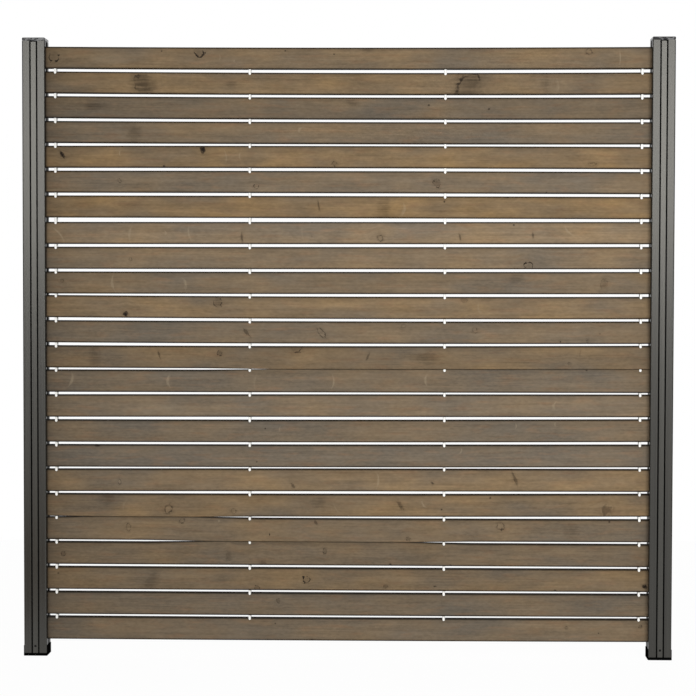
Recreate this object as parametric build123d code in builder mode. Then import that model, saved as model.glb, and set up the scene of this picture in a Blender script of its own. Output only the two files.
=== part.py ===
from build123d import *
import os

# Slatted fence panel: timber slats stacked between two channelled aluminium posts.
# Millimetres. Origin on the ground under the middle of the panel, X along the panel,
# front towards -Y, Z up.

# Panel
bay_width = 1796.0
total_height = 1844.0

# Slats
slat_height = 65.0
slat_thickness = 20.0
slat_edge_radius = 3.0
slat_gap = 9.0
lowest_slat_z = 49.0
slat_play = 0.2
slat_end_play = 2.0
slat_top_clearance = 12.0

# Posts: four stepped channels, four hollow corners and a square core
post_side = 68.0
post_corner_radius = 3.5
post_wall = 2.0
step_width = 1.8
mouth_depth = 10.0
core_side = 20.0
core_wall = 3.0

# Cover strips, a hat section that lies on the step of the channel
groove_width = 4.0
strip_wall = 1.8
strip_edge_bevel = 0.6
strip_side_play = 0.1
strip_top_gap = 3.0

# Caps
cap_plate = 8.0
cap_bevel = 1.6
cap_neck = 1.5
cap_neck_inset = 3.0
cap_leg_length = 26.0
cap_leg_wall = 2.0
cap_leg_play = 0.25

# Feet
foot_plate = 8.0
foot_lip = 1.5
foot_wall_play = 0.2
tongue_top = 30.0
tongue_play = 0.2
plug_top = 46.0
plug_play = 0.2

# Blocks under the lowest slat
support_inset = 2.0

# Foot fixing screws
screw_z = 29.0
screw_diameter = 4.0
screw_head_diameter = 7.0
screw_head_rise = 0.8
screw_depth_in_plug = 7.0
screw_play = 0.2

# Spacer clips
spacer_columns = 4
spacer_from_post = 27.0
spacer_width = 7.0
spacer_leg_length = 7.0
spacer_leg_thickness = 1.6
spacer_play = 0.1

# Worked out from the above
half_post = post_side / 2
post_x = bay_width / 2 + half_post
post_bottom = foot_plate
post_top = total_height - cap_plate - cap_neck
channel_width = slat_thickness + 2 * slat_play
channel_floor = core_side / 2 + core_wall
channel_depth = half_post - channel_floor
mouth_width = channel_width + 2 * step_width
step_face = half_post - mouth_depth
strip_face_width = mouth_width - 2 * groove_width
chamber_side = half_post - post_wall - (mouth_width / 2 + post_wall)
chamber_spacing = post_side - 2 * post_wall - chamber_side
slat_pitch = slat_height + slat_gap
slat_count = int((post_top - slat_top_clearance - lowest_slat_z + slat_gap) // slat_pitch)
slat_length = bay_width + 2 * (channel_depth - slat_end_play)
spacer_pitch = (bay_width - 2 * spacer_from_post) / (spacer_columns - 1)
saddle_depth = slat_thickness + 2 * spacer_play
screw_tip = core_side / 2 - screw_depth_in_plug

sides = {"left": -1, "right": 1}


def save(piece, name):
    piece.label = name
    export_step(piece, "parts/" + name + ".step")


# A straight board with rounded long edges, lying in both inner channels
def make_slat(bottom):
    with BuildPart() as slat:
        with BuildSketch(Plane.YZ.offset(-slat_length / 2)):
            with Locations((0, bottom + slat_height / 2)):
                RectangleRounded(slat_thickness, slat_height, slat_edge_radius)
        extrude(amount=slat_length)
    return slat.part


# The extrusion, the same on all four sides, with the screw hole in its front core wall
def make_post(x):
    with BuildPart() as post:
        with BuildSketch(Plane(origin=(x, 0, post_bottom))):
            RectangleRounded(post_side, post_side, post_corner_radius)
            with PolarLocations(half_post - channel_depth / 2, 4):
                Rectangle(channel_depth, channel_width, mode=Mode.SUBTRACT)
            with PolarLocations(half_post - mouth_depth / 2, 4):
                Rectangle(mouth_depth, mouth_width, mode=Mode.SUBTRACT)
            with GridLocations(chamber_spacing, chamber_spacing, 2, 2):
                Rectangle(chamber_side, chamber_side, mode=Mode.SUBTRACT)
            Rectangle(core_side, core_side, mode=Mode.SUBTRACT)
        extrude(amount=post_top - post_bottom)
        with BuildSketch(Plane.XZ.offset(channel_floor)):
            with Locations((x, screw_z)):
                Circle(screw_diameter / 2 + screw_play)
        extrude(amount=-channel_floor, mode=Mode.SUBTRACT)
    return post.part


# A hat-shaped cover: flush bevelled face, two webs and two flanges on the channel's step
def make_strip(x, outward, bottom, drilled):
    flange_edge = mouth_width / 2 - strip_side_play
    flange_width = flange_edge - strip_face_width / 2 + strip_wall
    strip_top = post_top - strip_top_gap
    with BuildPart() as strip:
        with BuildSketch(Plane(origin=(x, 0, bottom), x_dir=outward, z_dir=(0, 0, 1))) as section:
            with Locations((half_post - strip_wall / 2, 0)):
                Rectangle(strip_wall, strip_face_width)
            chamfer(section.vertices().sort_by(Axis.X)[-2:], strip_edge_bevel)
            with Locations((step_face, strip_face_width / 2)):
                Rectangle(mouth_depth - strip_wall, strip_wall, align=(Align.MIN, Align.MAX))
            with Locations((step_face, flange_edge)):
                Rectangle(strip_wall, flange_width, align=(Align.MIN, Align.MAX))
            mirror(about=Plane.XZ)
        extrude(amount=strip_top - bottom)
        if drilled:
            with BuildSketch(Plane.XZ.offset(half_post)):
                with Locations((x, screw_z)):
                    Circle(screw_diameter / 2 + screw_play)
            extrude(amount=-2 * strip_wall, mode=Mode.SUBTRACT)
    return strip.part


# A bevelled plate over a shadow gap, with a hollow square leg in each corner chamber
def make_cap(x):
    plate_z = post_top + cap_neck
    leg_side = chamber_side - 2 * cap_leg_play
    leg_hollow = leg_side - 2 * cap_leg_wall
    neck_side = post_side - 2 * cap_neck_inset
    with BuildPart() as cap:
        with BuildSketch(Plane(origin=(x, 0, plate_z))):
            RectangleRounded(post_side, post_side, post_corner_radius)
        extrude(amount=cap_plate)
        chamfer(cap.faces().sort_by(Axis.Z)[-1].edges(), cap_bevel)
        with BuildSketch(Plane(origin=(x, 0, post_top))):
            Rectangle(neck_side, neck_side)
        extrude(amount=cap_neck)
        with BuildSketch(Plane(origin=(x, 0, post_top))):
            with GridLocations(chamber_spacing, chamber_spacing, 2, 2):
                Rectangle(leg_side, leg_side)
                Rectangle(leg_hollow, leg_hollow, mode=Mode.SUBTRACT)
        extrude(amount=-cap_leg_length)
    return cap.part


# A section that fills a side channel as far out as the given reach
def channel_filler(reach):
    inner = channel_floor + tongue_play
    mouth = step_face + tongue_play
    with Locations(((inner + reach) / 2, 0)):
        Rectangle(reach - inner, channel_width - 2 * tongue_play)
    with Locations(((mouth + reach) / 2, 0)):
        Rectangle(reach - mouth, mouth_width - 2 * tongue_play)


# A shoe under the post: a plate with a low wall up both sides, a tongue in each side channel
# and a plug in the core
def make_foot(x):
    foot_side = post_side + 2 * foot_lip
    foot_wall = foot_lip - foot_wall_play
    wall_depth = post_side - 2 * post_corner_radius
    plug_side = core_side - 2 * plug_play
    with BuildPart() as foot:
        with BuildSketch(Plane(origin=(x, 0, 0))):
            RectangleRounded(foot_side, foot_side, post_corner_radius + foot_lip)
        extrude(amount=foot_plate)
        for outward in ((1, 0, 0), (-1, 0, 0)):
            with BuildSketch(Plane(origin=(x, 0, foot_plate), x_dir=outward, z_dir=(0, 0, 1))):
                channel_filler(foot_side / 2)
                with Locations((foot_side / 2, 0)):
                    Rectangle(foot_wall, wall_depth, align=(Align.MAX, Align.CENTER))
            extrude(amount=tongue_top - foot_plate)
        with BuildSketch(Plane(origin=(x, 0, foot_plate))):
            Rectangle(plug_side, plug_side)
        extrude(amount=plug_top - foot_plate)
        with BuildSketch(Plane.XZ.offset(channel_floor)):
            with Locations((x, screw_z)):
                Circle(screw_diameter / 2 + screw_play)
        extrude(amount=screw_tip - screw_play - channel_floor, mode=Mode.SUBTRACT)
    return foot.part


# A block on the inner tongue that carries the end of the lowest slat
def make_support(x, inward):
    with BuildPart() as support:
        with BuildSketch(Plane(origin=(x, 0, tongue_top), x_dir=(inward, 0, 0), z_dir=(0, 0, 1))):
            channel_filler(half_post - support_inset)
        extrude(amount=lowest_slat_z - tongue_top)
    return support.part


# A column of clips, each a saddle with its block in the gap and a leg down both faces of the slat below
def make_spacers(x, slat_tops):
    clip_depth = saddle_depth + 2 * spacer_leg_thickness
    with BuildPart() as column:
        with BuildSketch(Plane.YZ.offset(x - spacer_width / 2)):
            for top in slat_tops:
                with Locations((0, top + slat_gap / 2)):
                    Rectangle(clip_depth, slat_gap)
                with Locations((0, top - spacer_leg_length / 2)):
                    Rectangle(clip_depth, spacer_leg_length)
                    Rectangle(saddle_depth, spacer_leg_length, mode=Mode.SUBTRACT)
        extrude(amount=spacer_width)
    return column.part


# Low round heads on the front strips, their shanks ending in the foot plugs
def make_screws():
    with BuildPart() as screws:
        for x in (-post_x, post_x):
            with BuildSketch(Plane.XZ.offset(half_post)):
                with Locations((x, screw_z)):
                    Circle(screw_head_diameter / 2)
            extrude(amount=screw_head_rise)
            with BuildSketch(Plane.XZ.offset(half_post)):
                with Locations((x, screw_z)):
                    Circle(screw_diameter / 2)
            extrude(amount=screw_tip - half_post)
    return screws.part


os.makedirs("parts", exist_ok=True)

slat_bottoms = [lowest_slat_z + slat_pitch * level for level in range(slat_count)]
for level, bottom in enumerate(slat_bottoms, start=1):
    save(make_slat(bottom), "slat_%02d" % level)

for side, sign in sides.items():
    x = sign * post_x
    save(make_post(x), "post_" + side)
    save(make_strip(x, (0, -1, 0), post_bottom, True), "front_strip_" + side)
    save(make_strip(x, (0, 1, 0), post_bottom, False), "back_strip_" + side)
    save(make_strip(x, (sign, 0, 0), tongue_top, False), "outer_strip_" + side)
    save(make_cap(x), "cap_" + side)
    save(make_foot(x), "foot_" + side)
    save(make_support(x, -sign), "slat_support_" + side)

slat_tops = [bottom + slat_height for bottom in slat_bottoms[:-1]]
for number in range(spacer_columns):
    spacer_x = (number - (spacer_columns - 1) / 2) * spacer_pitch
    save(make_spacers(spacer_x, slat_tops), "spacers_%d" % (number + 1))

save(make_screws(), "foot_screws")
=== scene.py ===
import math

import bpy
import numpy as np
from mathutils import Matrix, Vector


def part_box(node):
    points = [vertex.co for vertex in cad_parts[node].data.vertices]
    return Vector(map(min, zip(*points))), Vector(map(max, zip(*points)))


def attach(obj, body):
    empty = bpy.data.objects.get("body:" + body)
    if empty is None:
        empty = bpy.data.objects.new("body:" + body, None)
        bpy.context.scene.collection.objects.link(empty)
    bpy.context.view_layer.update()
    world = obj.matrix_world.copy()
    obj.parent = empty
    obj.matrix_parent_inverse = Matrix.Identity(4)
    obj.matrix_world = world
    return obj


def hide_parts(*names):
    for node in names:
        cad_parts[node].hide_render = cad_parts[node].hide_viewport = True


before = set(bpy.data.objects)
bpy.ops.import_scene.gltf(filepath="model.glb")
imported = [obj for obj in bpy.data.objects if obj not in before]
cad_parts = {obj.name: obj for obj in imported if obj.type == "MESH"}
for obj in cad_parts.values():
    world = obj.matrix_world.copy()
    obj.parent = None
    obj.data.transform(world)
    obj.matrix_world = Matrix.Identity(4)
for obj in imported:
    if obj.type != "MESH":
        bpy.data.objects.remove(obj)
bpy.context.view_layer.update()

# Slatted fence panel: stained spruce boards between two coated aluminium posts.
# Metres, the front towards -Y, the ground at z = 0.

scene = bpy.context.scene
scene.view_settings.view_transform = "Standard"
mm = 0.001
noiseLow, noiseHigh = 0.3, 0.7      # nearly all values of a noise texture lie between these

# settings that many nodes share
times = {"operation": "MULTIPLY"}
timesPlus = {"operation": "MULTIPLY_ADD"}
colourMix = {"data_type": "RGBA"}
smoothStep = {"interpolation_type": "SMOOTHSTEP"}


# sRGB hex to linear red, green, blue and alpha
def linear(hexColour):
    srgb = np.array([int(hexColour[i:i + 2], 16) for i in (1, 3, 5)]) / 255
    rgb = np.where(srgb <= 0.04045, srgb / 12.92, ((srgb + 0.055) / 1.055) ** 2.4)
    return (*rgb.tolist(), 1.0)


# texture scale that makes one cell of a pattern this many millimetres along x, y and z
def cellsOf(sizes):
    return tuple(1 / (size * mm) for size in sizes)


# sets inputs of a node; each is a value, a socket, or a node that gives its first output
def feed(tree, node, inputs):
    for name, value in inputs.items():
        if isinstance(value, bpy.types.Node):
            value = value.outputs[0]
        if isinstance(value, bpy.types.NodeSocket):
            tree.links.new(value, node.inputs[name])
        else:
            node.inputs[name].default_value = value


# adds a node with its settings and inputs
def addNode(tree, kind, settings={}, inputs={}):
    node = tree.nodes.new("ShaderNode" + kind)
    for name, value in settings.items():
        setattr(node, name, value)
    feed(tree, node, inputs)
    return node


# a material with its Principled shader, whose constant sockets are set directly
def newMaterial(name, constants):
    material = bpy.data.materials.new(name)
    material.use_nodes = True
    tree = material.node_tree
    shader = tree.nodes["Principled BSDF"]
    feed(tree, shader, constants)
    return material, tree, shader


def addObject(name, data):
    item = bpy.data.objects.new(name, data)
    scene.collection.objects.link(item)
    return item


# Boards

boards = {
    "edgeRadius": 3 * mm,
    "columnStep": 8 * mm,
    "faceRows": 12,
    "cornerSteps": 3,
    "swell": (3.8 * mm, -0.2 * mm),     # the lower boards have taken up water, the top ones have dried
    "tightGap": 0.6 * mm,
    "closingRun": 0.2,          # length over which a gap closes
    # painted shade along the board edges: the lower edge's share of it, and how much of it a closed gap
    # loses
    "lowerEdge": 0.85,          # darkness of the lower edge as a share of the upper one's
    "tightEase": 0.7,           # how much of the dark edge is lost where a gap is closed
    # painted shadow of each post on the board ends
    "leftPostShadow": (0.28, 100 * mm, 0.26, 3 * mm),      # broad and close shade at the post, each with its run
    "rightPostShadow": (0.1, 70 * mm, 0, 3 * mm),
    "seedSpacing": 0.9,         # keeps the boards apart in the pattern space
    "knotSpacing": 7.3,         # and the knots of one board
    "knotFade": 14 * mm,
    "openAbove": 0.4,           # height, in half sizes, above which an open ring is not drawn
    "bruiseStretch": 1.4,       # a bruise is drawn out along the grain
    "wispBow": 1.5,             # bow of a pale wisp, in its half widths
    "grainGives": 0.8,          # how far the grain gives way to a knot
    "grainRun": 2.5,            # over how many half widths
}

# rise of a board over straight, mm by board number, counted from the lowest
boardLift = {
    "left": {1: -0.5, 4: 3.5, 5: 3.5, 6: 0.5, 8: 0, 11: 2.5, 12: 1.5, 14: 4, 15: 0.5, 17: 0.5, 18: 5.5,
             22: 5.5, 24: 4},
    "middle": {1: -0.5, 4: 3.5, 6: 2, 7: 4, 8: 2, 9: 2.5, 10: 4.5, 11: 3.5, 12: 0.8, 13: 0.8, 16: 0.5,
               17: 1, 18: 4, 20: 4.5, 21: 1.5, 23: -1, 24: -0.5},
    "right": {1: 2, 5: 4.5, 6: 7, 8: 6, 9: 7.5, 10: 7, 11: 5, 12: 4.6, 13: 2.9, 14: 2, 17: 2, 20: 1.5,
              23: -0.4, 24: 0.5},
}

# gaps that the crooked boards close: the lower board, and from where to where along it
closedGaps = [(11, -0.43, 1.2), (5, -0.95, -0.26), (4, -0.6, 0.37)]

# share of brown in each board's stain, the rest grey, and its lightness, from the lowest board up
boardTones = [(0.3, 0.96), (0.25, 0.91), (0.55, 0.86), (0.4, 0.85), (0.4, 0.94), (0.65, 0.9),
              (0.6, 1), (0.05, 1.06), (0.2, 1.01), (0.3, 1.1), (0.2, 0.99), (0.55, 0.87),
              (0.25, 1.01), (0.7, 0.99), (0.4, 1), (0.4, 1.08), (0.47, 1.24), (1, 0.89),
              (0.34, 1.06), (0.92, 0.9), (0.35, 0.98), (0.32, 0.87), (0.75, 0.89), (0.55, 0.94)]

# how dark a knot is on its ring, inside it and in the wood about it; below zero is paler
knotLooks = {
    "pin": (0.35, 0.85, 0.1),
    "ring": (1.0, 0.2, 0.14),
    "cup": (5.0, 0.05, 0.12),
    "bowl": (0.9, 0.06, 0.14),
    "arc": (0.6, 0.12, 0.34),
    "eye": (0.8, -0.3, 0.28),
    "halo": (-0.3, 0.3, 0.16),
    "bark": (0.7, 1.1, 0.2),
    "whorl": (0.3, 0.12, 0.2),
    "bruise": (0, 0.05, 0.24),
    "streak": (0.1, 0.5, 0.12),
    "curl": (-0.1, -0.34, 0),
    "worn": (0, 0, -0.16),
}

# kind, mm along from the middle, share of the board's height, half width, half height, lean in degrees
knots = {
    24: [("cup", -875, 0.55, 14, 15, -15), ("worn", -700, 0.45, 45, 10, 0),
         ("pin", -553, 0.82, 2.5, 2.5, 0), ("cup", -441, 0.76, 14, 12, 12),
         ("curl", -380, 0.55, 2, 10, 0), ("curl", -336, 0.38, 2, 5, 0),
         ("pin", -185, 0.85, 2.2, 2.2, 0), ("pin", -40, 0.7, 2.4, 2.2, 0),
         ("bruise", 59, 0.95, 12, 5, 0), ("eye", 713, 0.8, 9, 7, -30), ("curl", 804, 0.5, 2, 24, 0)],
    23: [("arc", -608, 0.48, 22, 26, -130), ("bruise", -345, 0.5, 8, 6, 0),
         ("arc", 358, 0.45, 38, 28, -140), ("bruise", 594, 0.45, 9, 26, 0),
         ("curl", 618, 0.45, 5, 26, 4)],
    22: [("curl", -808, 0.32, 2.5, 9, 10), ("bruise", -765, 0.55, 22, 14, 0),
         ("curl", -186, 0.78, 9, 1.5, 0), ("bruise", 13, 0.75, 9, 6, -20), ("pin", 241, 0.65, 3, 3, 0),
         ("pin", 419, 0.48, 3.2, 3, 0)],
    21: [("bruise", -634, 0.4, 12, 20, 0), ("curl", -140, 0.66, 5, 11, -35)],
    20: [("bark", -851, 0.6, 5, 12, 35), ("curl", -678, 0.65, 2, 10, 0), ("pin", -546, 0.06, 4, 4, 0),
         ("bark", -430, 0.84, 7.5, 11, 0), ("curl", -362, 0.5, 2.5, 18, 6),
         ("curl", -320, 0.55, 2.5, 12, -4), ("ring", -38, 0.2, 7, 8, 0), ("eye", 724, 0.2, 11, 5, 5)],
    19: [("eye", -679, 0.54, 4, 6, 30), ("curl", -424, 0.82, 8, 2, 0), ("eye", -271, 0.3, 7, 7, 20),
         ("ring", 265, 0.47, 9, 12, 35), ("pin", 590, 0.06, 2.4, 2.2, 0)],
    18: [("streak", -85, 0.55, 3, 18, 12), ("bruise", 112, 0.45, 11, 26, 0),
         ("curl", 165, 0.35, 5, 20, -20), ("pin", 288, 0.76, 3, 3, 0), ("pin", 475, 0.96, 4, 2, 0)],
    17: [("curl", -862, 0.45, 3.5, 30, 40), ("curl", -648, 0.45, 4, 24, -5),
         ("curl", -543, 0.5, 3, 8, 0), ("curl", -471, 0.5, 3, 24, 8), ("streak", -314, 0.3, 4, 14, 3),
         ("curl", -132, 0.5, 3, 26, 5), ("pin", -106, 0.35, 3, 3, 0), ("eye", 98, 0.28, 7, 9, 30),
         ("streak", 335, 0.3, 3.5, 12, 10), ("pin", 494, 0.86, 3, 2.5, 0),
         ("streak", 551, 0.4, 3, 10, 5), ("curl", 655, 0.6, 4, 18, 40)],
    16: [("eye", -647, 0.44, 4, 4, 0), ("cup", 538, 0.12, 13, 13, 180)],
    15: [("eye", -852, 0.57, 4, 4, 0), ("curl", -700, 0.5, 4, 24, 5), ("curl", -485, 0.45, 4, 20, 12),
         ("bruise", 502, 0.7, 12, 10, 0), ("whorl", 762, 0.45, 12, 14, 0)],
    14: [("bark", -662, 0.16, 7, 7, 0), ("ring", -386, 0.72, 11, 14, 0), ("bowl", 348, 0.86, 9, 7, 0),
         ("curl", 392, 0.5, 4, 16, 15)],
    13: [("streak", -300, 0.5, 5, 17, 40), ("eye", -76, 0.48, 7, 16, 40), ("eye", 168, 0.8, 6, 4, 0),
         ("eye", 380, 0.62, 7, 8, 20), ("pin", 634, 0.1, 2.4, 2.4, 0), ("ring", 717, 0.12, 6, 7, 0),
         ("pin", 750, 0.45, 3, 3, 0)],
    12: [("bruise", -755, 0.5, 9, 26, 0), ("streak", -562, 0.6, 3.5, 13, 20),
         ("ring", -381, 0.68, 7, 8, 0), ("bowl", -150, 0.92, 16, 13, 0),
         ("streak", 62, 0.55, 3.5, 12, -25), ("bruise", 240, 0.5, 20, 12, 0),
         ("ring", 662, 0.24, 6, 6, 0), ("streak", 692, 0.68, 2.5, 12, -8)],
    11: [("curl", -826, 0.55, 4, 22, -15), ("curl", -533, 0.5, 5, 20, 0),
         ("eye", -305, 0.72, 2.5, 4, 0), ("curl", -274, 0.5, 4, 22, -10), ("curl", -42, 0.5, 3, 22, 0),
         ("curl", 236, 0.55, 4, 18, 0), ("pin", 712, 0.96, 3, 2, 0)],
    10: [("worn", -560, 0.36, 48, 11, 0), ("curl", 618, 0.5, 5, 14, 0)],
    9: [("pin", -244, 0.62, 2.5, 2.5, 0), ("curl", -200, 0.6, 2.5, 9, 0), ("curl", 503, 0.72, 2, 9, 0),
        ("curl", 620, 0.8, 2, 7, 0)],
    8: [("bark", -747, 0.95, 8, 3, 0), ("pin", -269, 0.24, 2.2, 2.6, 0),
        ("curl", 340, 0.72, 2.5, 9, -20)],
    7: [("eye", -681, 0.42, 4, 7, 0), ("streak", -161, 0.25, 5, 10, 30), ("curl", 92, 0.5, 3, 22, 0),
        ("pin", 255, 0.38, 5, 3, -40), ("streak", 502, 0.55, 5, 22, 22)],
    6: [("bruise", -712, 0.75, 14, 16, 0), ("curl", -668, 0.45, 3, 18, -10),
        ("eye", -534, 0.34, 9, 14, -25), ("eye", -339, 0.25, 7, 7, 0), ("bruise", -76, 0.62, 13, 14, 0),
        ("curl", -36, 0.5, 2.5, 24, 25), ("streak", 160, 0.5, 6, 17, 35),
        ("curl", 230, 0.55, 3, 14, 35), ("pin", 283, 0.33, 2.5, 2.5, 0), ("pin", 428, 0.85, 3, 3, 0),
        ("halo", 772, 0.3, 15, 17, 0)],
    5: [("eye", -655, 0.55, 6, 10, 0), ("eye", -493, 0.85, 7, 6, 20), ("curl", -383, 0.85, 3, 4, 0),
        ("pin", -231, 0.3, 2, 4, 0), ("streak", -92, 0.82, 5, 9, 30), ("ring", 184, 0.14, 6, 6, 0),
        ("eye", 458, 0.7, 10, 11, 35), ("bruise", 669, 0.5, 12, 14, 0), ("pin", 782, 0.9, 3, 3, 0)],
    4: [("ring", -851, 0.46, 6, 7, 0), ("whorl", -354, 0.4, 6, 12, 0), ("ring", -251, 0.08, 8, 7, 0),
        ("ring", -66, 0.62, 5, 9, 0), ("pin", 131, 0.06, 4, 4, 20), ("pin", 310, 0.04, 4, 3, 0)],
    3: [("pin", -867, 0.7, 2.5, 2.5, 0), ("bruise", -585, 0.42, 9, 28, -32),
        ("ring", -269, 0.1, 8, 7, 0), ("cup", -120, 0.5, 10, 12, -20), ("ring", 117, 0.2, 6, 5, 0),
        ("pin", 264, 0.22, 6, 2, 0), ("pin", 622, 0.07, 4, 2.5, 0), ("bark", 889, 0.25, 7, 6, 0)],
    2: [("ring", -205, 0.65, 5, 6, 20)],
    1: [("pin", -214, 0.75, 2.2, 2.2, 0), ("pin", -103, 0.05, 3, 3, 0), ("ring", 656, 0.62, 5, 5, 0),
        ("pin", 752, 0.38, 2, 2, 0), ("ring", 876, 0.68, 5, 5, 0)],
}

openKnots = ("cup", "bowl", "arc")      # rings that are open at the top
bendingKnots = openKnots + ("ring", "eye", "halo", "whorl", "bark")     # the grain runs round these

boardNames = sorted(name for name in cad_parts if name.removeprefix("slat_").isdigit())
boardBoxes = np.array([[list(corner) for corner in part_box(name)] for name in boardNames])
boardStart, boardEnd = boardBoxes[0, :, 0]
columnCount = int(round((boardEnd - boardStart) / boards["columnStep"])) + 1
columnX = np.linspace(boardStart, boardEnd, columnCount)


# height of every board's lower and upper edge along it, a parabola through its three lifts with the two
# facing edges drawn together where a gap is closed, and how closed the gaps below and above it are
def boardEdges():
    level = np.arange(1, len(boardNames) + 1)
    left, middle, right = [np.interp(level, list(lift), list(lift.values()))[:, None] * mm
                           for lift in boardLift.values()]
    along = columnX[None, :] / boardEnd
    lift = middle + (right - left) / 2 * along + ((left + right) / 2 - middle) * along ** 2
    swell = np.linspace(*boards["swell"], len(level))[:, None]
    bottom = boardBoxes[:, 0, 2][:, None] + lift - swell / 2
    top = boardBoxes[:, 1, 2][:, None] + lift + swell / 2
    below = np.zeros_like(bottom)
    above = np.zeros_like(top)
    for lower, start, end in closedGaps:
        inside = np.minimum(columnX - start, end - columnX) / boards["closingRun"]
        closing = np.clip(inside, 0, 1)
        slack = (bottom[lower] - top[lower - 1] - boards["tightGap"]) * closing
        top[lower - 1] += slack / 2
        bottom[lower] -= slack / 2
        above[lower - 1] = closing
        below[lower] = closing
    return bottom, top, below, above


# faces of a skin: a profile, clockwise seen from the far end, carried along columns and closed at both ends
def skinFaces(columns, around, first=0):
    index = first + np.arange(columns * around).reshape(columns, around)
    turned = np.roll(index, -1, axis=1)
    sides = np.stack([index[:-1], index[1:], turned[1:], turned[:-1]], axis=-1).reshape(-1, 4)
    return sides.tolist() + [index[0].tolist(), index[-1, ::-1].tolist()]


# makes the finished object; attributes are vectors, one for each point
def makePiece(name, points, faces, material, nodes, attributes={}, flatFaces=()):
    mesh = bpy.data.meshes.new(name)
    mesh.from_pydata(points.reshape(-1, 3).tolist(), [], faces)
    for label, values in attributes.items():
        layer = mesh.attributes.new(label, "FLOAT_VECTOR", "POINT")
        layer.data.foreach_set("vector", values.astype(np.float32).ravel())
    smooth = np.ones(len(faces), bool)
    smooth[list(flatFaces)] = False
    mesh.polygons.foreach_set("use_smooth", smooth)
    mesh.materials.append(material)
    mesh.update()
    piece = addObject(name, mesh)
    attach(piece, "root")
    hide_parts(*nodes)


# rounded board section, front face first: depth, share of the height between the corner centres,
# and the offset from there
def boardProfile(depth):
    radius = boards["edgeRadius"]
    half = depth / 2
    rows = np.linspace(0, 1, boards["faceRows"] + 1)
    turn = np.linspace(0, math.pi / 2, boards["cornerSteps"] + 1)[1:]
    rise = radius * np.sin(turn)
    inset = radius * (1 - np.cos(turn))
    front = np.stack([np.full_like(rows, -half), rows, 0 * rows])
    frontTop = np.stack([-half + inset, np.ones_like(turn), rise])
    backTop = np.stack([half - inset[::-1], np.ones_like(turn), rise[::-1]])
    back = np.stack([np.full_like(rows, half), rows[::-1], 0 * rows])
    backFoot = np.stack([half - inset, np.zeros_like(turn), -rise])
    frontFoot = np.stack([-half + inset[::-1], np.zeros_like(turn), -rise[::-1]])
    return np.concatenate([front, frontTop, backTop, back, backFoot, frontFoot], axis=1)


# knot space: each column takes its nearest knot, with the place measured in that knot's half sizes; the
# grain gives way by a bell curve along the board, and by a shift across it that levels off with distance
def knotFields(level, x, z, bottom, top, seed):
    at = np.zeros(x.shape + (3,))
    look = np.zeros(x.shape + (3,))
    bend = np.zeros_like(x)
    row = sorted(knots.get(level, []), key=lambda knot: knot[1])
    places = np.array([knot[1] for knot in row]) * mm
    widths = np.array([knot[3] for knot in row]) * mm + boards["columnStep"]
    share = widths[:-1] / (widths[:-1] + widths[1:])
    between = places[:-1] + np.diff(places) * share
    borders = np.concatenate([[2 * boardStart], between, [2 * boardEnd]])
    for number, (kind, _, height, halfWidth, halfHeight, lean) in enumerate(row):
        dx = x - places[number]
        dz = z - (bottom + (top - bottom) * height)
        cos = math.cos(math.radians(lean))
        sin = math.sin(math.radians(lean))
        stretch = boards["bruiseStretch"] if kind == "bruise" else 1.0
        u = (dx * cos + dz * sin) / (halfWidth * stretch * mm)
        v = (dz * cos - dx * sin) / (halfHeight * mm)
        if kind == "curl":                      # bowed to one side and the other by turns
            u = u + boards["wispBow"] * (v ** 2 - 0.5) * (-1) ** number
        near = np.minimum(x - borders[number], borders[number + 1] - x)
        fade = np.clip((near - boards["columnStep"]) / boards["knotFade"], 0, 1)
        mine = near >= 0
        knotSeed = np.full_like(u, seed + number * boards["knotSpacing"])
        at[mine] = np.stack([u, v, knotSeed], axis=-1)[mine]
        drawn = fade[..., None] * np.array(knotLooks[kind])
        if kind in openKnots:
            drawn[..., 0] *= v < boards["openAbove"]
        look[mine] = drawn[mine]
        if kind in bendingKnots:
            pull = np.exp(-(dx / (boards["grainRun"] * halfWidth * mm)) ** 2)
            bend += boards["grainGives"] * pull * dz / (1 + np.abs(dz) / (halfHeight * mm))
    return at, look, bend


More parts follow.
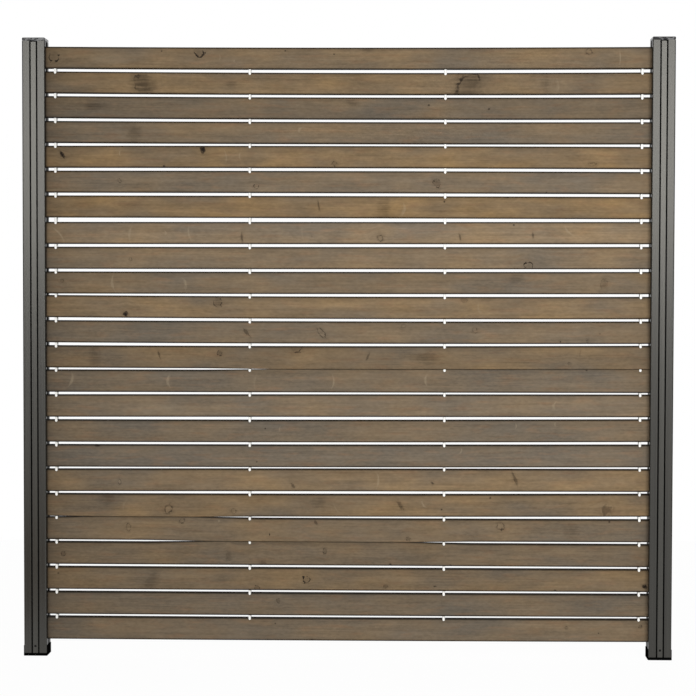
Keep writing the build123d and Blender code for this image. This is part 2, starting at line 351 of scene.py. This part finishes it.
# the section carried along the columns, its height set by the board's two edges
def makeBoards(material):
    bottoms, tops, below, above = boardEdges()
    profile = boardProfile(boardBoxes[0, 1, 1] - boardBoxes[0, 0, 1])
    faces = skinFaces(columnCount, profile.shape[1])
    endFaces = (len(faces) - 2, len(faces) - 1)
    radius = boards["edgeRadius"]
    depth, share, offset = [part[None, :] for part in profile]
    # painted shade along the rounded edges: half where the rounded corner starts, full at its end
    onFace = (share > 0) & (share < 1)
    edge = np.where(onFace, 0, 0.5 + np.abs(offset) / (2 * radius))
    edge = edge * np.where(share > 0, 1, boards["lowerEdge"])
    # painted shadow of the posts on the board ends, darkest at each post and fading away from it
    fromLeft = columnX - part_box("post_left")[1].x
    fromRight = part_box("post_right")[0].x - columnX
    ends = np.ones_like(columnX)
    for away, shade in ((fromLeft, boards["leftPostShadow"]), (fromRight, boards["rightPostShadow"])):
        broad, broadRun, close, closeRun = shade
        away = np.maximum(away, 0)
        ends -= broad * np.exp(-away / broadRun) + close * np.exp(-away / closeRun)
    for number, name in enumerate(boardNames):
        bottom = bottoms[number][:, None]
        top = tops[number][:, None]
        z = bottom + radius + share * (top - bottom - 2 * radius) + offset
        x = columnX[:, None] * np.ones_like(z)
        y = depth * np.ones_like(z)
        points = np.stack([x, y, z], axis=-1)
        seed = (number + 1) * boards["seedSpacing"]
        at, look, bend = knotFields(number + 1, x, z, bottom, top, seed)
        grain = np.stack([x, y + seed, z - (bottom + top) / 2 - bend], axis=-1)
        brown, light = boardTones[number]
        tight = share * above[number][:, None] + (1 - share) * below[number][:, None]
        # the board's lightness carries the painted post shadow
        tone = np.stack([np.full_like(x, brown), light * ends[:, None] * np.ones_like(x),
                         edge * (1 - boards["tightEase"] * tight)], axis=-1)
        fields = {"grainAt": grain, "knotAt": at, "knotLook": look, "boardToneAndShade": tone}
        makePiece("board_" + name.removeprefix("slat_"), points, faces, material, [name],
                  fields, endFaces)
    print("boards", len(boardNames), "with", len(faces), "faces each")
    return bottoms, tops


spruce = {
    "grey": "#695f52",
    "brown": "#856f52",
    "warm": "#84654a",
    "dark": "#1c140d",
    "pale": "#a3937a",
    "patterns": {                   # cell sizes in mm along, through and across the board
        "streaks": (130, 25, 3.4),
        "bands": (420, 60, 11),
        "clouds": (220, 120, 75),
        "blush": (75, 90, 15),
        "blotches": (90, 80, 26),
        "flecks": (13, 6, 5),
        "fibres": (36, 6, 1.3),
    },
    "depths": {"streaks": 0.42, "bands": 0.36, "flecks": 0.5},      # swing of the lightness with each
    "blotchDepth": 0.44,
    "cloudDepth": 0.42,
    "leastSwing": 0.45,             # share of the clouds and blotches that a grey board shows
    "blush": (0.52, 0.78, 0.4),     # noise where the warm patches start and where they are full, strength
    # painted shade along the rounded edges, and where it starts and where it is full
    "edgeShadeDepth": 0.86,
    "edgeRun": (0.12, 0.62),
    # painted shade towards the upper edge
    "topShade": 0.87,
    "topRun": (16 * mm, 32 * mm),   # heights over the board's middle
    "gloss": 0.12,
    "rough": (0.72, 0.58),          # of early and late wood
    "fibreShare": 0.5,              # of the relief
    "relief": 0.4 * mm,
    "reliefStrength": 0.35,
}

# how a knot is drawn, in its half sizes from the heart
knotDrawing = {
    "wobble": 1.7,                  # unevenness of the outline
    "wobbleScale": 1.4,
    "ringHalf": 0.22,               # half the ring's thickness
    "brokenScale": 0.9,
    "broken": (0.42, 0.58, 0.08),   # noise where the ring is faint and where it is full, how faint
    "yearRings": 16.0,
    "yearDepth": 0.16,
    "inside": (0.5, 1.1),           # full up to the first, gone at the second
    "about": (0.2, 2.4),
    "streaked": (1.5, 0.5),         # the dark about a knot follows the streaks
}


# Planed spruce under a thin grey-brown stain: matt, with long fine streaks where the hard late wood
# took less stain, cloudy patches of brown and grey, painted shade along the rounded edges and a little
# painted shade below the upper edge, and knots ringed with bark
def stainedSpruce():
    material, tree, shader = newMaterial("stained spruce", {"Specular IOR Level": spruce["gloss"]})
    grain, knotAt, knotLook, tone = [addNode(tree, "Attribute", {"attribute_name": name}).outputs["Vector"]
                                     for name in ("grainAt", "knotAt", "knotLook", "boardToneAndShade")]
    brown, light, edge = addNode(tree, "SeparateXYZ", {}, {0: tone}).outputs
    noise = {}
    for name, sizes in spruce["patterns"].items():
        place = addNode(tree, "Mapping", {}, {"Vector": grain, "Scale": cellsOf(sizes)})
        noise[name] = addNode(tree, "TexNoise", {}, {"Vector": place, "Scale": 1.0, "Detail": 2.5})

    # the browner a board, the more uneven it is
    swing = addNode(tree, "Math", {"operation": "ADD"}, {0: brown, 1: spruce["leastSwing"]})
    depth = spruce["cloudDepth"]
    clouds = addNode(tree, "MapRange", {},
                     {0: noise["clouds"], 1: noiseLow, 2: noiseHigh, 3: -depth, 4: depth})
    brownShare = addNode(tree, "Math", timesPlus, {0: clouds, 1: swing, 2: brown})
    stain = addNode(tree, "Mix", colourMix | {"clamp_factor": False},
                    {0: brownShare, 6: linear(spruce["grey"]), 7: linear(spruce["brown"])}).outputs[2]
    start, full, strength = spruce["blush"]
    blush = addNode(tree, "MapRange", {}, {0: noise["blush"], 1: start, 2: full, 3: 0.0, 4: strength})
    stain = addNode(tree, "Mix", colourMix, {0: blush, 6: stain, 7: linear(spruce["warm"])}).outputs[2]

    depth = spruce["blotchDepth"]
    blotches = addNode(tree, "Math", timesPlus, {0: noise["blotches"], 1: depth, 2: -depth / 2})
    even = 1 - sum(spruce["depths"].values()) / 2
    lightness = addNode(tree, "Math", timesPlus, {0: blotches, 1: swing, 2: even})
    for name, depth in spruce["depths"].items():
        lightness = addNode(tree, "Math", timesPlus, {0: noise[name], 1: depth, 2: lightness})
    # painted shade along the board edges
    start, full = spruce["edgeRun"]
    edgeShade = addNode(tree, "MapRange", smoothStep,
                        {0: edge, 1: start, 2: full, 3: 1.0, 4: 1 - spruce["edgeShadeDepth"]})
    # painted shade, darker towards the upper edge
    height = addNode(tree, "SeparateXYZ", {}, {0: grain}).outputs[2]
    start, full = spruce["topRun"]
    topShade = addNode(tree, "MapRange", smoothStep,
                       {0: height, 1: start, 2: full, 3: 1.0, 4: spruce["topShade"]})
    # the painted edge shade, the board's lightness with the painted post shadow, and the painted shade at
    # the top
    for shade in (edgeShade, light, topShade):
        lightness = addNode(tree, "Math", times, {0: lightness, 1: shade})
    stain = addNode(tree, "VectorMath", {"operation": "SCALE"}, {0: stain, "Scale": lightness})

    # distance from the knot's heart in its half sizes, made uneven
    flat = addNode(tree, "VectorMath", times, {0: knotAt, 1: (1, 1, 0)})
    heart = addNode(tree, "VectorMath", {"operation": "LENGTH"}, {0: flat}).outputs["Value"]
    wobble = addNode(tree, "TexNoise", {},
                     {"Vector": knotAt, "Scale": knotDrawing["wobbleScale"], "Detail": 3.0})
    reach = addNode(tree, "Math", timesPlus, {0: wobble, 1: knotDrawing["wobble"], 2: heart})
    reach = addNode(tree, "Math", {"operation": "SUBTRACT"}, {0: reach, 1: knotDrawing["wobble"] / 2})

    # the ring, broken in places
    offRing = addNode(tree, "Math", {"operation": "SUBTRACT"}, {0: reach, 1: 1.0})
    offRing = addNode(tree, "Math", {"operation": "ABSOLUTE"}, {0: offRing})
    ring = addNode(tree, "MapRange", smoothStep,
                   {0: offRing, 1: 0.0, 2: knotDrawing["ringHalf"], 3: 1.0, 4: 0.0})
    broken = addNode(tree, "TexNoise", {},
                     {"Vector": knotAt, "Scale": knotDrawing["brokenScale"], "Detail": 2.0})
    start, full, faint = knotDrawing["broken"]
    broken = addNode(tree, "MapRange", {}, {0: broken, 1: start, 2: full, 3: faint, 4: 1.0})
    ring = addNode(tree, "Math", times, {0: ring, 1: broken})

    # its inside with year rings, and the wood about it
    years = addNode(tree, "Math", times, {0: reach, 1: knotDrawing["yearRings"]})
    years = addNode(tree, "Math", {"operation": "SINE"}, {0: years})
    depth = knotDrawing["yearDepth"]
    years = addNode(tree, "Math", timesPlus, {0: years, 1: depth, 2: 1 - depth})
    full, gone = knotDrawing["inside"]
    inside = addNode(tree, "MapRange", smoothStep, {0: reach, 1: full, 2: gone, 3: 1.0, 4: 0.0})
    inside = addNode(tree, "Math", times, {0: inside, 1: years})
    full, gone = knotDrawing["about"]
    about = addNode(tree, "MapRange", {"interpolation_type": "SMOOTHERSTEP"},
                    {0: reach, 1: full, 2: gone, 3: 1.0, 4: 0.0})
    early, late = knotDrawing["streaked"]
    streaked = addNode(tree, "MapRange", {},
                       {0: noise["streaks"], 1: noiseLow, 2: noiseHigh, 3: early, 4: late})
    about = addNode(tree, "Math", times, {0: about, 1: streaked})
    parts = addNode(tree, "CombineXYZ", {}, {0: ring, 1: inside, 2: about})
    knot = addNode(tree, "VectorMath", {"operation": "DOT_PRODUCT"}, {0: parts, 1: knotLook})
    for sign, colour in ((1.0, spruce["dark"]), (-1.0, spruce["pale"])):
        share = addNode(tree, "Math", times, {0: knot.outputs["Value"], 1: sign})
        share = addNode(tree, "Math", {"operation": "MAXIMUM"}, {0: share, 1: 0.0})
        stain = addNode(tree, "Mix", colourMix, {0: share, 6: stain, 7: linear(colour)}).outputs[2]

    early, late = spruce["rough"]
    rough = addNode(tree, "MapRange", {},
                    {0: noise["streaks"], 1: noiseLow, 2: noiseHigh, 3: early, 4: late})
    relief = addNode(tree, "Math", timesPlus,
                     {0: noise["fibres"], 1: spruce["fibreShare"], 2: noise["streaks"]})
    bump = addNode(tree, "Bump", {}, {"Strength": spruce["reliefStrength"], "Distance": spruce["relief"],
                                      "Height": relief})
    feed(tree, shader, {"Base Color": stain, "Roughness": rough, "Normal": bump})
    return material


boardBottoms, boardTops = makeBoards(stainedSpruce())

# Spacer clips

clips = {
    "cheek": 1.5 * mm,          # thickness of the legs on the board's faces
    "play": 0.15 * mm,
    "columns": 6,
    "endRound": 0.9,            # how much of the half width the leg's rounded end takes
    "rimShare": 0.995,          # stops just short of where the circle stands upright
    "sideShadePower": 4,             # how close to its sides the block gets painted shade
    "white": "#fbfaf6",
    "sunken": "#efeee9",
    # painted shade on the block's thin sides
    "side": "#8d8b84",
    "sinkMarks": 4 * mm,
    "rough": 0.42,
    "gloss": 0.4,
}


# White polyethylene, injection moulded: even, slightly waxy, a little darker in its fine sink marks, and
# grey with painted shade along the thin sides of the block
def mouldedWhite():
    surface = {"Roughness": clips["rough"], "Specular IOR Level": clips["gloss"]}
    material, tree, shader = newMaterial("white polyethylene", surface)
    place = addNode(tree, "TexCoord").outputs["Object"]
    marks = addNode(tree, "TexNoise", {}, {"Vector": place, "Scale": 1 / clips["sinkMarks"], "Detail": 2.0})
    colour = addNode(tree, "Mix", colourMix,
                     {0: marks, 6: linear(clips["white"]), 7: linear(clips["sunken"])}).outputs[2]
    # painted shade along the block's thin sides
    side = addNode(tree, "Attribute", {"attribute_name": "clipSideShade"}).outputs["Fac"]
    colour = addNode(tree, "Mix", colourMix, {0: side, 6: colour, 7: linear(clips["side"])}).outputs[2]
    feed(tree, shader, {"Base Color": colour})
    return material


# a saddle over each board: its section stands in the gap and grips both faces, and carried across the
# clip's width the legs shorten like the rim of a circle
def makeClips(name, material):
    low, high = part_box(name)
    middle = (low.x + high.x) / 2
    half = (high.x - low.x) / 2
    legLength = boardBoxes[0, 1, 2] - low.z
    gripHalf = (boardBoxes[0, 1, 1] - boardBoxes[0, 0, 1]) / 2 + clips["play"]
    outer = gripHalf + clips["cheek"]
    s = np.linspace(-1, 1, clips["columns"] + 1)
    rise = half * clips["endRound"] * (1 - np.sqrt(1 - (s * clips["rimShare"]) ** 2))
    depth = np.array([-outer, -outer, outer, outer, gripHalf, gripHalf, -gripHalf, -gripHalf])
    onLeg = np.array([1, 0, 0, 1, 1, 0, 0, 1])
    onTop = np.array([0, 1, 1, 0, 0, 0, 0, 0])
    around = len(depth)
    # painted shade on the block's top, strongest towards the ends of its width
    sideShadeShare = np.abs(s)[:, None] ** clips["sideShadePower"] * onTop[None, :]
    sides = np.repeat(sideShadeShare[None, :, :, None], len(boardNames) - 1, axis=0) * np.ones(3)
    allPoints = []
    faces = []
    for lower in range(len(boardNames) - 1):
        seat = np.interp(middle, columnX, boardTops[lower]) + clips["play"]
        roof = np.interp(middle, columnX, boardBottoms[lower + 1]) - clips["play"]
        z = seat + onTop * (roof - seat) + onLeg * (rise[:, None] - legLength)
        x = middle + s[:, None] * half * np.ones_like(z)
        y = depth * np.ones_like(z)
        faces += skinFaces(len(s), around, lower * len(s) * around)
        allPoints.append(np.stack([x, y, z], axis=-1))
    makePiece("clips_" + name.removeprefix("spacers_"), np.concatenate(allPoints), faces, material,
              [name], {"clipSideShade": sides}, range(len(faces)))


clipPlastic = mouldedWhite()
clipColumns = sorted(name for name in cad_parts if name.startswith("spacers_"))
for clipColumn in clipColumns:
    makeClips(clipColumn, clipPlastic)
print("clips in", len(clipColumns), "columns")

# Foot screws

screws = {
    "headRadius": 3.5 * mm,
    "headRise": 0.8 * mm,
    "domePower": 2.5,           # the higher, the flatter the head's crown
    "shankRadius": 2 * mm,
    "tipRadius": 1.2 * mm,
    "tipLength": 2 * mm,
    "endRadius": 0.02 * mm,     # small faces close the tip and the crown
    "crownEnd": 0.01,
    "crossHalf": 0.55 * mm,
    "crossReach": 2.1 * mm,
    "crossDepth": 0.6 * mm,
    "crossSteep": (4, 8),       # the higher, the steeper its sides and its ends
    "angles": 32,
    "rings": 14,
    "dark": "#181817",
    "light": "#242322",
    "mottle": 0.8 * mm,
    "rough": (0.3, 0.5),
}


# Blackened steel: dark metal with a fine crystalline mottle
def blackenedSteel():
    material, tree, shader = newMaterial("blackened steel", {"Metallic": 1.0})
    place = addNode(tree, "TexCoord").outputs["Object"]
    mottle = addNode(tree, "TexNoise", {}, {"Vector": place, "Scale": 1 / screws["mottle"], "Detail": 3.0})
    colour = addNode(tree, "Mix", colourMix,
                     {0: mottle, 6: linear(screws["dark"]), 7: linear(screws["light"])}).outputs[2]
    rough = addNode(tree, "MapRange", {}, {0: mottle, 3: screws["rough"][0], 4: screws["rough"][1]})
    feed(tree, shader, {"Base Color": colour, "Roughness": rough})
    return material


# a turned shape, radius by depth from the tip to the head's crown, with a cross pressed into the crown
def makeScrews(material):
    low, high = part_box("foot_screws")
    headRadius = screws["headRadius"]
    shankRadius = screws["shankRadius"]
    face = low.y + screws["headRise"]
    shank = np.array([[screws["endRadius"], high.y], [screws["tipRadius"], high.y],
                      [shankRadius, high.y - screws["tipLength"]], [shankRadius, face], [headRadius, face]])
    crown = np.linspace(1, screws["crownEnd"], screws["rings"])[1:]     # the rim is the shank's last ring
    radius = np.concatenate([shank[:, 0], crown * headRadius])[:, None]
    dome = face - screws["headRise"] * (1 - crown ** screws["domePower"])
    depth = np.concatenate([shank[:, 1], dome])[:, None]
    angle = -np.linspace(0, 2 * math.pi, screws["angles"], endpoint=False)[None, :]
    x = radius * np.cos(angle)
    z = radius * np.sin(angle)
    slot = np.minimum(np.abs(x), np.abs(z)) / screws["crossHalf"]
    onCrown = (np.arange(len(radius)) >= len(shank))[:, None]
    sides, ends = screws["crossSteep"]
    sunk = np.exp(-slot ** sides) * np.exp(-(radius / screws["crossReach"]) ** ends) * onCrown
    y = depth + sunk * screws["crossDepth"]
    centres = [low.x + headRadius, high.x - headRadius]
    height = (low.z + high.z) / 2
    points = np.concatenate([np.stack([x + centre, y, z + height], axis=-1) for centre in centres])
    faces = []
    for number in range(len(centres)):
        faces += skinFaces(len(radius), screws["angles"], number * x.size)
    makePiece("footScrews", points, faces, material, ["foot_screws"])
    print("screws", len(centres))


makeScrews(blackenedSteel())

# Posts, caps, feet and blocks keep their solids and get their finishes

finishes = {
    "coat": {
        "dark": "#3b3a38",
        "light": "#4a4945",
        # painted shade in the grooves and channels
        "hollow": "#050505",
        "metal": 0.75,              # the dyed oxide over the metal scatters the rest
        "edgeTint": 0.45,
        "rough": (0.22, 0.28),
        "hollowRough": 0.8,
        "hollowFrom": 31.5 * mm,    # distances from the post's axis
        "hollowTo": 33.3 * mm,
        "dieLines": (2.2, 2.2, 900),
        "peel": 1.6 * mm,
        "peelRelief": 0.1 * mm,
        "peelStrength": 0.12,
    },
    "strip": {"dark": "#403f3c", "light": "#4f4e4a"},       # in place of the coat's
    "cap": {"dark": "#121213", "light": "#1b1b1c", "rough": (0.14, 0.24), "gloss": 0.5,
            "grit": 1.2 * mm, "wave": 7 * mm},
    "foot": {"dark": "#050505", "light": "#090909", "rough": (0.5, 0.65), "gloss": 0.0,
             "grit": 1.5 * mm, "wave": 0.0},
    "block": {"dark": "#262524", "light": "#302f2d", "rough": (0.4, 0.52), "gloss": 0.2,
              "grit": 1.5 * mm, "wave": 0.0},
    "sunkenSpots": 24 * mm,
    "gritRelief": 0.1 * mm,
    "gritStrength": 0.15,
}


# Anodised aluminium, dyed anthracite: satin metal that mirrors the lamp in one long soft gradient, with
# faint upright lines from the die, rougher in its grooves and painted dark there as shade; the peel is
# drawn coarse so that it shows
def anodisedCoat(name, colours):
    look = finishes["coat"] | colours
    tint = look["edgeTint"]
    surface = {"Metallic": look["metal"], "Specular Tint": (tint, tint, tint, 1)}
    material, tree, shader = newMaterial(name, surface)
    place = addNode(tree, "TexCoord").outputs["Object"]
    along = addNode(tree, "Mapping", {}, {"Vector": place, "Scale": cellsOf(look["dieLines"])})
    lines = addNode(tree, "TexNoise", {}, {"Vector": along, "Scale": 1.0, "Detail": 2.0})
    peel = addNode(tree, "TexNoise", {}, {"Vector": place, "Scale": 1 / look["peel"], "Detail": 2.0})

    # the larger of both distances from the post's axis is less than half its side in the grooves, which are
    # painted dark as shade
    low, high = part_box("post_right")
    axis = ((low.x + high.x) / 2, 0, 0)
    away = addNode(tree, "VectorMath", {"operation": "ABSOLUTE"}, {0: place})
    away = addNode(tree, "VectorMath", {"operation": "SUBTRACT"}, {0: away, 1: axis})
    away = addNode(tree, "VectorMath", {"operation": "ABSOLUTE"}, {0: away})
    away = addNode(tree, "SeparateXYZ", {}, {0: away}).outputs
    away = addNode(tree, "Math", {"operation": "MAXIMUM"}, {0: away[0], 1: away[1]})
    outside = addNode(tree, "MapRange", {}, {0: away, 1: look["hollowFrom"], 2: look["hollowTo"]})

    colour = addNode(tree, "Mix", colourMix,
                     {0: lines, 6: linear(look["dark"]), 7: linear(look["light"])}).outputs[2]
    # painted shade in the grooves
    colour = addNode(tree, "Mix", colourMix, {0: outside, 6: linear(look["hollow"]), 7: colour}).outputs[2]
    smooth, dull = look["rough"]
    rough = addNode(tree, "MapRange", {}, {0: lines, 1: noiseLow, 2: noiseHigh, 3: smooth, 4: dull})
    rough = addNode(tree, "Mix", {}, {0: outside, 2: look["hollowRough"], 3: rough})
    bump = addNode(tree, "Bump", {}, {"Strength": look["peelStrength"], "Distance": look["peelRelief"],
                                      "Height": peel})
    feed(tree, shader, {"Base Color": colour, "Roughness": rough, "Normal": bump})
    return material


# Moulded plastic with the fine grain of its mould: glossy ABS with sunken spots for the caps, matt
# polypropylene for the feet and blocks
def mouldedPlastic(name, look):
    material, tree, shader = newMaterial(name, {"Specular IOR Level": look["gloss"]})
    place = addNode(tree, "TexCoord").outputs["Object"]
    grit = addNode(tree, "TexNoise", {}, {"Vector": place, "Scale": 1 / look["grit"], "Detail": 3.0})
    sunken = addNode(tree, "TexNoise", {},
                     {"Vector": place, "Scale": 1 / finishes["sunkenSpots"], "Detail": 1.0})
    colour = addNode(tree, "Mix", colourMix,
                     {0: grit, 6: linear(look["dark"]), 7: linear(look["light"])}).outputs[2]
    smooth, dull = look["rough"]
    rough = addNode(tree, "MapRange", {}, {0: grit, 1: noiseLow, 2: noiseHigh, 3: smooth, 4: dull})
    wave = addNode(tree, "Bump", {}, {"Strength": 1.0, "Distance": look["wave"], "Height": sunken})
    bump = addNode(tree, "Bump", {}, {"Strength": finishes["gritStrength"], "Height": grit,
                                      "Distance": finishes["gritRelief"], "Normal": wave})
    feed(tree, shader, {"Base Color": colour, "Roughness": rough, "Normal": bump})
    return material


stripCoat = anodisedCoat("lighter anodised aluminium", finishes["strip"])
nodeFinish = {
    "post": anodisedCoat("anthracite anodised aluminium", {}),
    "front": stripCoat,
    "back": stripCoat,
    "outer": stripCoat,
    "cap": mouldedPlastic("black ABS", finishes["cap"]),
    "foot": mouldedPlastic("black polypropylene", finishes["foot"]),
    "slat": mouldedPlastic("dark grey polypropylene", finishes["block"]),
}
for name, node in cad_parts.items():
    for place in node.material_slots:
        place.material = nodeFinish.get(name.split("_")[0], place.material)
print("finishes on", len(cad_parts), "nodes")

# Studio: a broad softbox behind the camera that the metal mirrors, a lamp from the right and one behind
# the panel that it does not, grey and brown sheets that shape the sheen on the posts, and a white room

studio = {
    "lamps": {
        "front": {"at": (0.45, -7.6, 2.19), "aim": (0.45, 0, 1.3), "size": (7.1, 2.0), "radiance": 5.6},
        "side": {"at": (2.1, -3.5, 1.8), "aim": (0, 0, 1.0), "size": (1.4, 1.8), "radiance": 8.4},
        "rear": {"at": (0.5, 6.5, 3.2), "aim": (0, 0, 0.9), "size": (4.5, 3.0), "radiance": 4.0},
    },
    "mirroredLamp": "front",
    "roomLight": 0.3,
    "flags": {
        "beside": 2.9,
        "front": -3.6,
        "back": 4.5,
        "height": 2.6,
        "lift": 4 * mm,             # of the sheets that lie on the floor
        "leftSheet": 1.1,           # where these start
        "rightSheet": 1.75,
        "upright": "#818181",
        "lying": "#8a6d3c",
    },
    "floorRadius": 3.0,
    "floorPoints": 64,
    "floorWhite": (0.95, 0.95, 0.95, 1),
    "floorGlow": 0.97,
}
white = (1, 1, 1, 1)
black = (0, 0, 0, 1)
matt = {"Roughness": 1.0, "Specular IOR Level": 0.0}


def makeLamp(name, look):
    lamp = bpy.data.lights.new(name + " softbox", "AREA")
    lamp.shape = "RECTANGLE"
    lamp.size, lamp.size_y = look["size"]
    lamp.energy = look["radiance"] * math.pi * lamp.size * lamp.size_y
    holder = addObject(name + " softbox", lamp)
    holder.location = look["at"]
    holder.rotation_euler = (Vector(look["aim"]) - Vector(look["at"])).to_track_quat("-Z", "Y").to_euler()
    holder.visible_camera = False
    holder.visible_glossy = name == studio["mirroredLamp"]


# flat sheets, four corners each: beside each post one stands and one lies on the floor; only reflections
# see them, as evenly glowing cloth
def makeFlags():
    look = studio["flags"]
    front, back, height, lift = look["front"], look["back"], look["height"], look["lift"]
    corners = []
    for far, near in ((-look["beside"], -look["leftSheet"]), (look["beside"], look["rightSheet"])):
        corners += [(far, front, 0), (far, front, height), (far, back, height), (far, back, 0)]
        corners += [(near, front, lift), (far, front, lift), (far, back, lift), (near, back, lift)]
    faces = np.arange(len(corners)).reshape(-1, 4).tolist()
    mesh = bpy.data.meshes.new("flags")
    mesh.from_pydata(corners, [], faces)
    for place in ("upright", "lying"):
        glow = {"Base Color": black, "Emission Color": linear(look[place]), "Emission Strength": 1.0}
        mesh.materials.append(newMaterial(place + " cloth", matt | glow)[0])
    mesh.polygons.foreach_set("material_index", [0, 1] * (len(faces) // 2))
    flags = addObject("flags", mesh)
    flags.visible_camera = False
    flags.visible_diffuse = False
    flags.visible_shadow = False


# what the camera, gloss and glass see: 1 for their rays, 0 for the light that falls on things
def seenDirectly(tree):
    path = addNode(tree, "LightPath").outputs
    seen = path["Is Camera Ray"]
    for ray in ("Is Glossy Ray", "Is Transmission Ray"):
        seen = addNode(tree, "Math", {"operation": "MAXIMUM"}, {0: seen, 1: path[ray]})
    return seen


def makeRoom():
    world = bpy.data.worlds.new("white room")
    world.use_nodes = True
    scene.world = world
    tree = world.node_tree
    level = studio["roomLight"]
    ambient = addNode(tree, "Background", {}, {"Color": (level, level, level, 1)})
    bright = addNode(tree, "Background", {}, {"Color": white})
    mixed = addNode(tree, "MixShader", {}, {0: seenDirectly(tree), 1: ambient, 2: bright})
    feed(tree, tree.nodes["World Output"], {"Surface": mixed})


# a flat disc, points on a circle; it glows white to the eye and still takes the shadow
def makeFloor():
    turn = np.linspace(0, 2 * math.pi, studio["floorPoints"], endpoint=False)
    rim = np.stack([np.cos(turn), np.sin(turn), 0 * turn], axis=-1) * studio["floorRadius"]
    mesh = bpy.data.meshes.new("floor")
    mesh.from_pydata(rim.tolist(), [], [list(range(len(turn)))])
    material, tree, shader = newMaterial("white floor", matt | {"Base Color": studio["floorWhite"]})
    glow = addNode(tree, "Emission", {}, {"Color": white})
    share = addNode(tree, "Math", times, {0: seenDirectly(tree), 1: studio["floorGlow"]})
    mixed = addNode(tree, "MixShader", {}, {0: share, 1: shader, 2: glow})
    feed(tree, tree.nodes["Material Output"], {"Surface": mixed})
    mesh.materials.append(material)
    floor = addObject("floor", mesh)


for lampName, lampLook in studio["lamps"].items():
    makeLamp(lampName, lampLook)
makeFlags()
makeRoom()
makeFloor()
print("studio with", len(studio["lamps"]), "lamps")

# Camera: a long lens, nearly square on, a little above the middle of the panel

view = {
    "at": (0.1758, -5.9624, 1.1399),
    "sensor": 36,
    "focalPixels": 2000,
    "imagePixels": 696,
    "yaw": 1.6648,
    "down": 2.0712,
    "roll": 0.1056,
}


def makeCamera():
    lens = bpy.data.cameras.new("camera")
    lens.sensor_width = view["sensor"]
    lens.lens = view["sensor"] * view["focalPixels"] / view["imagePixels"]
    camera = addObject("camera", lens)
    turn = (Matrix.Rotation(math.radians(view["yaw"]), 4, "Z")
            @ Matrix.Rotation(math.radians(90 - view["down"]), 4, "X")
            @ Matrix.Rotation(math.radians(view["roll"]), 4, "Z"))
    camera.matrix_world = Matrix.Translation(view["at"]) @ turn
    scene.camera = camera
    print("camera at", view["at"])


makeCamera()
